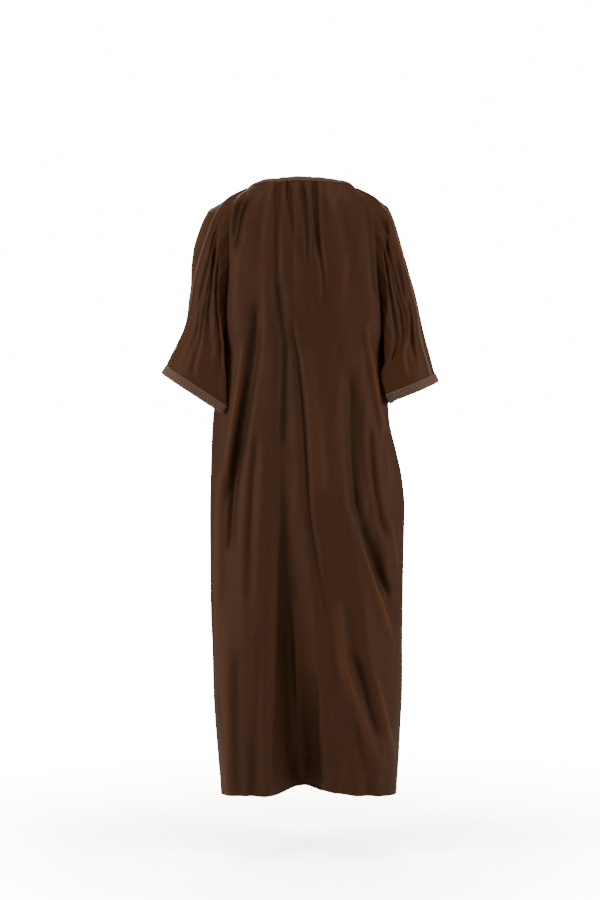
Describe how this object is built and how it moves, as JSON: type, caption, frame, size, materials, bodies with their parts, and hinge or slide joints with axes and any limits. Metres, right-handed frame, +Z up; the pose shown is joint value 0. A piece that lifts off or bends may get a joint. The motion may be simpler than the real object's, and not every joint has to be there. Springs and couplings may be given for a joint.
{
  "type": "djellaba robe",
  "caption": "Ankle-length pull-on djellaba robe in plain cloth, worn pose, with wide elbow-length raglan sleeves, braid trims and hand slits in the side seams.",
  "frame": {"origin": "middle of the neck opening, at the height of the neck end of the shoulders, where the wearer's shoulders hold the robe up", "axes": "+Z up along the wearer, the front faces -Y, the wearer's left is +X"},
  "size_m": [0.6246, 0.2748, 1.381],
  "materials": {
    "cloth": "plain-woven dark brown cloth with a soft sheen",
    "braid": "taupe woven braid with a small low-contrast repeat"
  },
  "bodies": {
    "root": {"back": "cloth", "front": "cloth", "sleeve_left": "cloth", "sleeve_right": "cloth", "neckband": "braid", "shoulder_braid_left": "braid", "shoulder_braid_right": "braid", "cuff_band_left": "braid", "cuff_band_right": "braid"}
  },
  "joints": []
}
